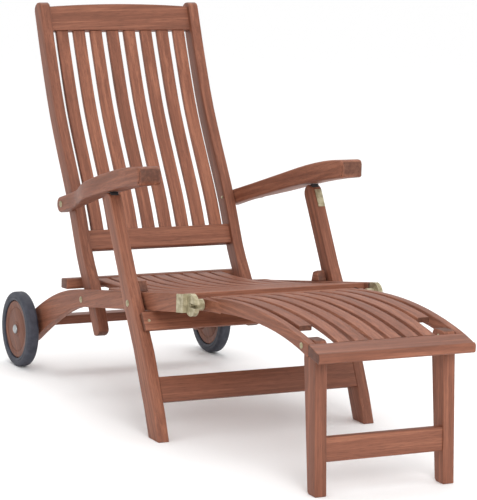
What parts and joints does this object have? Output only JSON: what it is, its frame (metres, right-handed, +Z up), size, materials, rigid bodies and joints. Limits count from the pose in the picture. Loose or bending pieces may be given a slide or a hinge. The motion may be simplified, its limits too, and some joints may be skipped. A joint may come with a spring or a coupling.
{
  "type": "folding deck chair",
  "caption": "Folding slatted hardwood deck chair with curved arms, a hinged leg rest on its own folding legs, and two rear wheels.",
  "frame": {"origin": "on the floor at the middle of the chair's length and width", "axes": "+X across the chair to the sitter's left, -Y towards the leg rest, +Y towards the wheels, +Z up"},
  "size_m": [0.617, 1.633, 0.9861],
  "materials": {
    "frame_wood": "oiled, satin",
    "slat_wood": "oiled, satin",
    "wheel_wood": "oiled, satin",
    "brass": "tarnished",
    "steel": "zinc plated",
    "rubber": "matt"
  },
  "bodies": {
    "root": {"seat_rail_left": "frame_wood", "seat_rail_right": "frame_wood", "seat_front_rail": "frame_wood", "seat_rear_rail": "frame_wood", "axle_board": "frame_wood", "seat_slats": "slat_wood", "rest_cleat_left": "frame_wood", "rest_cleat_right": "frame_wood", "hinge_cap_left": "brass", "hinge_cap_right": "brass", "hinge_pin_left": "brass", "hinge_pin_right": "brass", "axle_bolt_left": "steel", "axle_bolt_right": "steel", "leg_pivot_bolt_left": "brass", "leg_pivot_bolt_right": "brass"},
    "back_pivot": {"back_pivot_bolt_left": "brass", "back_pivot_bolt_right": "brass"},
    "backrest": {"back_stile_left": "frame_wood", "back_stile_right": "frame_wood", "back_bottom_rail": "frame_wood", "back_top_rail": "frame_wood", "back_slat_1": "slat_wood", "back_slat_2": "slat_wood", "back_slat_3": "slat_wood", "back_slat_4": "slat_wood", "back_slat_5": "slat_wood", "back_slat_6": "slat_wood", "back_slat_7": "slat_wood", "back_slat_8": "slat_wood"},
    "arm_pivot": {"arm_bolt_left": "brass", "arm_bolt_right": "brass"},
    "arms": {"arm_left": "frame_wood", "arm_right": "frame_wood"},
    "front_legs": {"front_leg_left": "frame_wood", "front_leg_right": "frame_wood", "front_leg_stretcher": "frame_wood", "front_leg_board": "frame_wood"},
    "footrest": {"footrest_rail_left": "frame_wood", "footrest_rail_right": "frame_wood", "footrest_rear_rail": "frame_wood", "footrest_end_rail": "frame_wood", "footrest_slat_1": "slat_wood", "footrest_slat_2": "slat_wood", "footrest_slat_3": "slat_wood", "footrest_slat_4": "slat_wood", "footrest_slat_5": "slat_wood", "footrest_slat_6": "slat_wood", "footrest_slat_7": "slat_wood", "footrest_slat_8": "slat_wood", "footrest_leg_bolt_left": "brass", "footrest_leg_bolt_right": "brass"},
    "footrest_legs": {"footrest_leg_left": "frame_wood", "footrest_leg_right": "frame_wood", "footrest_leg_stretcher": "frame_wood"},
    "wheel_left": {"wheel_disc_left": "wheel_wood", "tyre_left": "rubber"},
    "wheel_right": {"wheel_disc_right": "wheel_wood", "tyre_right": "rubber"}
  },
  "joints": [
    {"name": "recline", "type": "hinge", "parent": "root", "child": "back_pivot", "pos_m": [0, 0.3595, 0.245], "axis": [1, 0, 0], "range_deg": [-13, 0]},
    {"name": "fold", "type": "hinge", "parent": "back_pivot", "child": "backrest", "pos_m": [0, 0.3595, 0.245], "axis": [1, 0, 0], "range_deg": [0, 87]},
    {"name": "arm_tilt", "type": "hinge", "parent": "backrest", "child": "arm_pivot", "pos_m": [0, 0.4955, 0.476], "axis": [1, 0, 0], "range_deg": [0, 10.5]},
    {"name": "arm_fold", "type": "hinge", "parent": "arm_pivot", "child": "arms", "pos_m": [0, 0.4955, 0.476], "axis": [1, 0, 0], "range_deg": [-87.5, 0]},
    {"name": "leg_fold", "type": "hinge", "parent": "root", "child": "front_legs", "pos_m": [0, -0.0145, 0.305], "axis": [1, 0, 0], "range_deg": [0, 87.5]},
    {"name": "footrest_flip", "type": "hinge", "parent": "root", "child": "footrest", "pos_m": [0, -0.2765, 0.345], "axis": [1, 0, 0], "range_deg": [-110, 0]},
    {"name": "footrest_leg_fold", "type": "hinge", "parent": "footrest", "child": "footrest_legs", "pos_m": [0, -0.7335, 0.335], "axis": [1, 0, 0], "range_deg": [0, 60]},
    {"name": "wheel_left_spin", "type": "hinge", "parent": "root", "child": "wheel_left", "pos_m": [0, 0.7145, 0.102], "axis": [1, 0, 0], "continuous": true},
    {"name": "wheel_right_spin", "type": "hinge", "parent": "root", "child": "wheel_right", "pos_m": [0, 0.7145, 0.102], "axis": [1, 0, 0], "continuous": true}
  ],
  "couplings": [
    {"joint": "arm_tilt", "follows": "recline", "ratio": -0.745},
    {"joint": "arm_fold", "follows": "fold", "ratio": -1},
    {"joint": "leg_fold", "follows": "fold", "ratio": 1}
  ]
}
